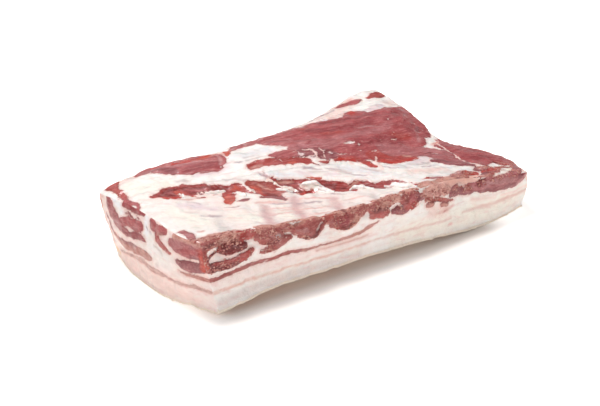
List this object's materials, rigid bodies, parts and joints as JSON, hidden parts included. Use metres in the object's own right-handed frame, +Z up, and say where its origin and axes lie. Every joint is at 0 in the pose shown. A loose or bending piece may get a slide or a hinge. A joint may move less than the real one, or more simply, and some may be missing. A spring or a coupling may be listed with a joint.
{
  "type": "pork belly slab",
  "caption": "Raw boneless pork belly slab, rind side down, lean and fat layers showing on its cut sides and rib marks on its top.",
  "frame": {"origin": "under the middle of the slab's box, on the plane that the rind rests on", "axes": "+X along the slab's length, from its thick end to its thin end; +Y across the slab, from the front cut to the back cut; +Z up, from rind to flesh side"},
  "size_m": [0.3344, 0.2048, 0.0609],
  "materials": {
    "raw_flesh": "moist raw pork, marbled lean and fat over rind",
    "raw_fat": "moist creamy fat and membrane"
  },
  "bodies": {
    "root": {"pork_belly": "raw_flesh"}
  },
  "joints": []
}
